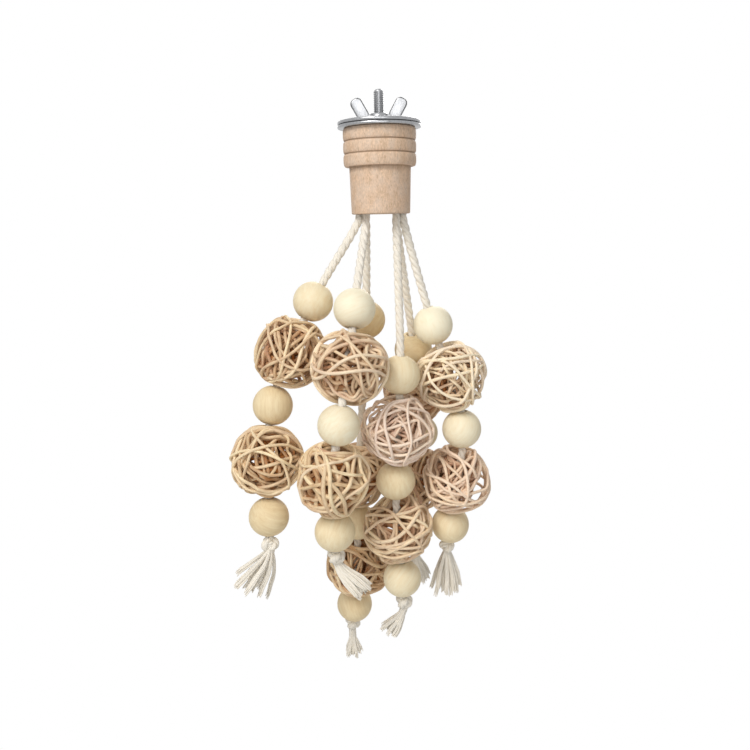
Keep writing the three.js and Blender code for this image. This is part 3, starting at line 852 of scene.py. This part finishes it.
def wound(rng, balls, bead_radius, seats, around, pale, pink, white, girth):
    """The runs of cane of one ball about Z. Each new turn lies over those that it crosses."""
    steps, tucked = 112, 12
    t = np.linspace(0, FULL_TURN, steps, endpoint=False)
    limit, closest = balls.width / 2, balls.opening / 2
    # How many turns take a new way, how far a cane rides up over one that it crosses and how
    # far it may sink into it, all as shares.
    fresh, lift, sink = 0.7, 0.85, 0.15
    # The winding starts from a core, climbs as it goes on and ends in a few hoops outside.
    core, climb, outside = limit * 0.52, limit * 0.26, limit * 0.88
    hoops = balls.turns // 4
    ways, reaches, halves = np.zeros((0, 3)), np.zeros(0), np.zeros(0)
    turns, normal = [], None
    for number in range(balls.turns):
        outer = number >= balls.turns - hoops
        half = balls.cane / 2 * girth * rng.uniform(0.84, 1.14)
        if normal is None or outer or rng.random() < fresh:
            normal = unit(rng.normal(size=3))
            aside = 0.28 if outer else 0.5
            offset = rng.uniform(-aside, aside)
        else:
            # A turn that keeps near the last one, as the cane is wound in bands.
            normal = unit(normal + rng.normal(size=3) * 0.2)
            shift = rng.choice([-1, 1]) * rng.uniform(0.12, 0.24)
            offset = np.clip(offset + shift, -0.55, 0.55)
        first = unit(np.cross(normal, rng.normal(size=3)))
        second = np.cross(normal, first)
        sway = 0.1 * np.sin(2 * t + rng.uniform(0, 6.3))
        sway = sway + 0.07 * np.sin(3 * t + rng.uniform(0, 6.3))
        way = np.outer(np.cos(t), first) + np.outer(np.sin(t), second)
        way = unit(way + np.outer(offset + sway, normal))
        port = math.asin((closest + half) / (limit - half))
        way = open_port(round_port(way, normal, t, port), port)
        lowest = outside if outer else core + climb * number / balls.turns
        need = np.full(steps, lowest)
        if len(ways):
            apart = np.arccos(np.clip(way @ ways.T, -1, 1)) * reaches
            both = half + halves
            rise = np.sqrt(np.clip(both**2 - apart**2, 0, None))
            over = np.where(apart < both, reaches + rise * lift, 0)
            need = np.maximum(need, over.max(axis=1))
        reach = need.copy()
        for _ in range(30 if outer else 12):
            reach = np.maximum(reach, need - sink * half)
            reach = 0.5 * reach + 0.25 * (np.roll(reach, 1) + np.roll(reach, -1))
        ways = np.concatenate([ways, way])
        reaches = np.append(reaches, reach)
        halves = np.append(halves, np.full(steps, half))
        turns.append((way, reach, half))
    most = np.percentile((reaches + halves)[-hoops * steps:], 70)
    squeeze = (limit - core) / max(most - core, limit - core)
    soft = 0.15 * MM
    runs = []
    for number, (way, reach, half) in enumerate(turns):
        top = limit - half
        fitted = core + (reach - core) * squeeze
        fitted = np.minimum(top - np.logaddexp(0, (top - fitted) / soft) * soft, top)
        # Painted shade: canes deeper in the ball are painted browner, darker, less pink and less
        # bleached.
        deep = 1 - number / balls.turns
        tone = pale * (1 - deep) + rng.normal() * 0.12 + 0.22 - 0.25 * deep
        blush = (pink + rng.normal() * 0.1) * (1 - 0.8 * deep)
        bleach = (white + rng.uniform(-0.15, 0.15)) * (1 - deep)
        shades = np.clip((tone, blush, bleach), 0, 1)
        closed = number % 6 != 4
        if not closed:
            # A length of cane that ends here: its two cut ends are tucked in under the others.
            kept = steps - int(rng.integers(6, 18))
            way, fitted = way[:kept], fitted[:kept].copy()
            tuck = np.linspace(0, 1, tucked) ** 2 * 1.6 * MM
            fitted[-tucked:] -= tuck
            fitted[:tucked] -= tuck[::-1]
        points = clear_beads(way * fitted[:, None], half, bead_radius, seats, around)
        runs.append((points, np.full(len(points), half), shades, closed))
    return runs


def unit(way):
    return way / np.linalg.norm(way, axis=-1, keepdims=True)


def round_port(way, normal, t, least):
    """Bends a turn to one side of each of the cord's openings that it would cross."""
    for pole in (1, -1):
        angle = np.arccos(np.clip(way[:, 2] * pole, -1, 1))
        nearest = int(np.argmin(angle))
        if angle[nearest] < least:
            to_pole = np.array((0, 0, pole)) - way[nearest]
            aside = -math.copysign(1.2 * (least - angle[nearest]), to_pole @ normal)
            along = (t - t[nearest] + math.pi) % FULL_TURN - math.pi
            way = unit(way + np.outer(aside * np.exp(-((along / 0.5) ** 2)), normal))
    return way


def open_port(way, least):
    """Turns directions away from the openings, so that none is nearer to Z than an angle."""
    flat = np.hypot(way[:, 0], way[:, 1])
    angle = np.arctan2(flat, np.abs(way[:, 2]))
    opened = (angle**4 + least**4) ** 0.25
    opened = np.minimum(np.maximum(opened, least), math.pi / 2)
    share = (np.sin(opened) / np.maximum(flat, 1e-6))[:, None]
    return np.column_stack([way[:, :2] * share, np.copysign(np.cos(opened), way[:, 2])])


def clear_beads(points, half, bead_radius, seats, around):
    """Moves points off the two beads, wherever the ball is turned, and off the cord."""
    gap = 0.25 * MM
    clear = bead_radius + gap + half
    out = np.hypot(points[:, 0], points[:, 1])
    height = points[:, 2].copy()
    kept = np.maximum(out, np.interp(height, *around) + half)
    for aside, high in seats:
        apart = np.hypot(kept - aside, height - high)
        push = np.maximum(0, clear - apart) / apart
        kept, height = kept + push * (kept - aside), height + push * (height - high)
    kept = np.maximum(kept, np.interp(height, *around) + half)
    share = (kept / np.maximum(out, 1e-6))[:, None]
    return np.column_stack([points[:, :2] * share, height])


class CHEWTOY_OT_balls(bpy.types.Operator):
    """Winds the hollow rattan balls, turn over turn"""

    bl_idname = "chewtoy.balls"
    bl_label = "Rattan balls"

    def execute(self, context):
        settings = context.scene.chew_toy
        balls, beads, cords = settings.balls, settings.beads, settings.cords
        rattan = rattan_finish(balls)
        for number, letter in enumerate(STRANDS):
            _, places, axes = strand_of(letter)
            route = cord_line(letter, cords, beads)
            for i in (1, 3):
                name = f"{letter}{i // 2 + 1}"
                rng = np.random.default_rng(number * 10 + i)
                seats = []
                for bead in (places[i - 1], places[i + 1]):
                    to_bead = bead - places[i]
                    high = to_bead.dot(axes[i])
                    seats.append(((to_bead - axes[i] * high).length, high))
                around = room_for_cord(route, places[i], axes[i], cords.width, balls)
                runs = wound(rng, balls, beads.width / 2, seats, around, *BALL_LOOKS[name])
                mesh = swept(runs, sides=8)
                set_on_cord(mesh, places[i], axes[i])
                node = f"ball_{name}"
                piece_of(f"rattan_{node}", mesh, rattan, node, node)
        return {"FINISHED"}


def block_profile(block):
    """The block's outline, from the middle of its foot round to the middle of its top."""
    head, neck, end = block.head / 2, block.neck / 2, block.neck_end / 2
    foot, under, band = -block.height, -block.head_height, block.head_height / 3
    swell, soft, edge = 0.06 * MM, 0.12 * MM, 0.5 * MM
    outline = [(0, foot), (end - edge, foot), (end - soft, foot + 0.16 * MM), (end, foot + edge)]
    for i in range(1, 9):
        rise = (block.height - block.head_height - 0.6 * MM) * i / 8
        outline.append((end + (neck - end) * i / 8, foot + edge + rise))
    outline += [(neck + 0.1 * MM, under - 0.02 * MM), (head - 0.8 * MM, under)]
    outline += [(head - 0.45 * MM, under + 0.14 * MM)]
    # Each band of the head, with how far from its lower and upper ends it is rounded.
    for i, lower, upper in ((3, 0.8, 0.45), (2, 0.45, 0.45), (1, 0.45, 0.4)):
        low, tall = lower * MM - band * i, band - (lower + upper) * MM
        for k in range(7):
            bow = k / 3 - 1
            outline.append((head - swell * bow**2 - soft * bow**6, low + tall * k / 6))
        if i > 1:
            for share, rise in ((0.75, -0.14), (1.0, 0.0), (0.75, 0.14)):
                outline.append((head - block.groove * share, rise * MM - band * (i - 1)))
    return outline + [(head - 0.4 * MM, -0.04 * MM), (head - 0.9 * MM, 0), (0, 0)]


def drilled_block(context, block):
    """The turned block with two blind holes for the cords and one for the bolt."""
    drills = bmesh.new()
    roof, under = -block.height + block.hole_depth, -block.height - MM
    bolt_end, bolt_hole = -14.3 * MM, 4.5 * MM
    for x, top, bottom, width in (
        (-block.spacing / 2, roof, under, block.hole),
        (block.spacing / 2, roof, under, block.hole),
        (0, MM, bolt_end, bolt_hole),
    ):
        bmesh.ops.create_cone(
            drills, cap_ends=True, segments=48, radius1=width / 2, radius2=width / 2,
            depth=top - bottom, matrix=Matrix.Translation((x, 0, (top + bottom) / 2)),
        )
    blank = linked("blank", mesh_of(spun(block_profile(block), steps=128)))
    drill = linked("drill", mesh_of(drills))
    cut = blank.modifiers.new("holes", "BOOLEAN")
    cut.operation, cut.object, cut.solver = "DIFFERENCE", drill, "EXACT"
    bm = bmesh.new()
    bm.from_object(blank, context.evaluated_depsgraph_get())
    bmesh.ops.remove_doubles(bm, verts=bm.verts, dist=0.005 * MM)
    for tool in (blank, drill):
        bpy.data.objects.remove(tool)
    return mesh_of(bm)


def paint_block_shade(mesh, block):
    """Marks painted shade on the grooves, the corner under the head and the lower rim."""
    inside, band = block.head / 2 - block.groove * 0.4, block.head_height / 3
    shares = []
    for vert in mesh.vertices:
        out, height = math.hypot(vert.co.x, vert.co.y), vert.co.z
        from_groove = min(abs(height + band * i) for i in (1, 2))
        groove = from_groove < 0.3 * MM and out < inside
        under_head = abs(height + block.head_height) < 0.15 * MM
        corner = under_head and out < block.neck / 2 + 0.3 * MM
        rim = height < 0.2 * MM - block.height
        # Painted shade: strongest in the grooves, then in the corner under the head, then on the
        # lower rim.
        shares.append((1.0 if groove else 0.7 if corner else 0.5 if rim else 0.0, 0, 0))
    mark(mesh, "tone_and_shade", shares)


class CHEWTOY_OT_block(bpy.types.Operator):
    """Turns the banded block and drills its cord holes"""

    bl_idname = "chewtoy.block"
    bl_label = "Turned block"

    def execute(self, context):
        settings = context.scene.chew_toy
        block, cords = settings.block, settings.cords
        mesh = drilled_block(context, block)
        # Painted shade in the grooves, under the head and on the lower rim.
        paint_block_shade(mesh, block)
        piece_of("turned_block", mesh, beech_finish(block), "wood_block", "holder")
        glue = glue_finish()
        top = -block.height + block.hole_depth - 0.3 * MM
        half = block.hole / 2 - 0.15 * MM
        low = top - cords.root * 0.62
        profile = [(0, top), (half, top), (half, low - 0.9 * MM)]
        profile += [(half - 0.25 * MM, low - 0.35 * MM), (half * 0.8, low)]
        profile += [(half * 0.5, low + 0.3 * MM), (0, low + 0.4 * MM)]
        for side, x in (("left", -block.spacing / 2), ("right", block.spacing / 2)):
            bm = spun(profile, steps=40)
            bmesh.ops.translate(bm, verts=bm.verts, vec=(x, 0, 0))
            node = f"glued_cords_{side}"
            piece_of(f"glue_plug_{side}", mesh_of(bm), glue, node, "holder")
        return {"FINISHED"}


def bolt_mesh(hardware):
    """A rod with a screw thread, spun up a helix, and a tapered tip."""
    low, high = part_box("hanger_bolt")
    crest, root, pitch = hardware.bolt / 2, hardware.bolt / 2 - 0.22 * MM, hardware.pitch
    tooth = [(root, 0.0), (root, 0.12), (crest, 0.38), (crest, 0.64), (root, 0.9), (root, 1.0)]
    turns, steps = math.floor((high.z - low.z) / pitch) - 1, 24
    profile = [(r, low.z + share * pitch) for r, share in tooth]
    bm = spun(profile, steps * turns, turns, pitch / steps)
    stretch = (high.z - low.z) / (pitch * (turns + 1))
    taper = 0.9 * MM
    for vert in bm.verts:
        vert.co.z = low.z + (vert.co.z - low.z) * stretch
        reach = math.hypot(vert.co.x, vert.co.y)
        most = crest - max(0.0, vert.co.z - (high.z - taper))
        if reach > most:
            vert.co.x *= most / reach
            vert.co.y *= most / reach
    bmesh.ops.holes_fill(bm, edges=[e for e in bm.edges if e.is_boundary], sides=0)
    bmesh.ops.recalc_face_normals(bm, faces=bm.faces)
    return mesh_of(bm, sharp=40)


def washer_mesh(hardware, node):
    """A stamped washer: rolled over at its upper edge and sharp at its lower one."""
    low, high = [corner.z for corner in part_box(node)]
    outer, inner, roll = hardware.washer / 2, 2.25 * MM, (high - low) * 0.55
    profile = [(inner, low + 0.1 * MM), (inner + 0.1 * MM, low)]
    profile += [(outer - 0.12 * MM, low), (outer, low + 0.12 * MM)]
    for i in range(7):
        angle = math.pi / 2 * i / 6
        out, up = outer - roll + roll * math.cos(angle), high - roll + roll * math.sin(angle)
        profile.append((out, up))
    profile += [(inner + 0.35 * MM, high), (inner + 0.1 * MM, high - 0.08 * MM)]
    profile += [(inner, high - 0.3 * MM), profile[0]]
    return mesh_of(spun(profile, steps=128), sharp=50)


def wing_nut_mesh(hardware):
    """A round hub with two flat rounded wings that lean outwards."""
    low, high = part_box("wing_nut")
    base, tall, bore = low.z, 2.8 * MM, 2.1 * MM
    # The hub's outline from its bore, as radii and heights in millimetres.
    hub = [(2.1, 0.0), (3.9, 0.0), (4.2, 0.3), (4.1, 0.9), (3.48, 2.3), (3.25, 2.68)]
    hub += [(2.9, 2.8), (2.5, 2.8), (2.1, 2.4), (2.1, 0.0)]
    bm = spun([(r * MM, base + z * MM) for r, z in hub], steps=64)
    half, foot, root_rise = hardware.wing_width / 2, hardware.wing_foot / 2, 2.6 * MM
    climb = high.z - base - half - root_rise
    lean, plate = hardware.wing_lean, hardware.wing_plate
    root = high.x - half - climb * math.tan(lean)
    start = bore + foot + 0.1 * MM
    for side in (0, math.pi):
        # The foot is a little thinner than the wing that stands on it, and ends in the hub.
        for wide, length, thick, tilt, place in (
            (foot, root - start, plate * 0.86, math.pi / 2, (start, 0, base + tall / 2)),
            (half, climb / math.cos(lean), plate, lean, (root, 0, base + root_rise)),
        ):
            blade = add_plate(bm, wide, length, thick)
            turn = Matrix.Translation(place) @ Matrix.Rotation(tilt, 4, "Y")
            turn = Matrix.Rotation(side, 4, "Z") @ turn
            bmesh.ops.transform(bm, verts=blade, matrix=turn)
    bmesh.ops.recalc_face_normals(bm, faces=bm.faces)
    mesh = mesh_of(bm, sharp=40)
    # Painted dark reflection: the wings' rounded edges are painted darker than their flat faces.
    edges = [abs(v.normal.y) < 0.95 and v.co.z > base + tall for v in mesh.vertices]
    mark(mesh, "tone_and_shade", [(float(edge), 0, 0) for edge in edges])
    return mesh


def add_plate(bm, half, tall, thick):
    """Adds an upright plate with round corners and soft edges, and returns its points."""
    before = set(bm.verts)
    corner, bevel = half * 0.82, 0.55 * MM
    outline = []
    for first, (x, z) in enumerate(((1, 1), (-1, 1), (-1, -1), (1, -1))):
        middle_x, middle_z = x * (half - corner), tall + half - corner if z > 0 else corner - half
        for i in range(7):
            angle = math.pi / 2 * (first + i / 6)
            out, up = corner * math.cos(angle), corner * math.sin(angle)
            outline.append((middle_x + out, middle_z + up))
    face = bm.faces.new([bm.verts.new((x, -thick / 2, z)) for x, z in outline])
    grown = bmesh.ops.extrude_face_region(bm, geom=[face])["geom"]
    moved = [v for v in grown if isinstance(v, bmesh.types.BMVert)]
    bmesh.ops.translate(bm, verts=moved, vec=(0, thick, 0))
    rims = []
    for edge in bm.edges:
        one, two = edge.verts
        if one not in before and abs(one.co.y - two.co.y) < 1e-7:
            rims.append(edge)
    bmesh.ops.bevel(
        bm, geom=rims, offset=bevel, offset_type="OFFSET", segments=3, profile=0.5,
        affect="EDGES", material=-1,
    )
    return [v for v in bm.verts if v not in before]


class CHEWTOY_OT_hardware(bpy.types.Operator):
    """Makes the threaded bolt, the two washers and the wing nut"""

    bl_idname = "chewtoy.hardware"
    bl_label = "Bolt, washers and wing nut"

    def execute(self, context):
        hardware = context.scene.chew_toy.hardware
        zinc = zinc_finish(hardware)
        lower, upper = [washer_mesh(hardware, node) for node in ("lower_washer", "upper_washer")]
        for name, mesh, node, body in (
            ("threaded_bolt", bolt_mesh(hardware), "hanger_bolt", "holder"),
            ("stamped_lower_washer", lower, "lower_washer", "holder"),
            ("stamped_upper_washer", upper, "upper_washer", "clamp_washer"),
            ("stamped_wing_nut", wing_nut_mesh(hardware), "wing_nut", "wing_nut"),
        ):
            piece_of(name, mesh, zinc, node, body)
        return {"FINISHED"}


class CHEWTOY_PT_panel(bpy.types.Panel):
    """Lists the steps that make the toy, and its settings"""

    bl_idname = "CHEWTOY_PT_panel"
    bl_label = "Chew Toy"
    bl_space_type = "VIEW_3D"
    bl_region_type = "UI"
    bl_category = "Chew Toy"

    def draw(self, context):
        for operator in OPERATORS:
            self.layout.operator(operator.bl_idname)
        settings = context.scene.chew_toy
        for group in ("cords", "beads", "balls", "block", "hardware"):
            box = self.layout.box()
            values = getattr(settings, group)
            for name in values.__annotations__:
                box.prop(values, name)


GROUPS = (
    ChewToyCords, ChewToyBeads, ChewToyBalls, ChewToyBlock, ChewToyHardware, ChewToySettings,
)
OPERATORS = (
    CHEWTOY_OT_stage, CHEWTOY_OT_cords, CHEWTOY_OT_beads, CHEWTOY_OT_balls, CHEWTOY_OT_block,
    CHEWTOY_OT_hardware,
)
CLASSES = (*GROUPS, *OPERATORS, CHEWTOY_PT_panel)


register_classes, unregister_classes = bpy.utils.register_classes_factory(CLASSES)


def register():
    register_classes()
    bpy.types.Scene.chew_toy = bpy.props.PointerProperty(type=ChewToySettings)


def unregister():
    del bpy.types.Scene.chew_toy
    unregister_classes()


def main():
    """Makes every piece in order."""
    register()
    bpy.ops.chewtoy.stage()
    bpy.ops.chewtoy.cords()
    bpy.ops.chewtoy.beads()
    bpy.ops.chewtoy.balls()
    bpy.ops.chewtoy.block()
    bpy.ops.chewtoy.hardware()


if __name__ == "__main__":
    main()
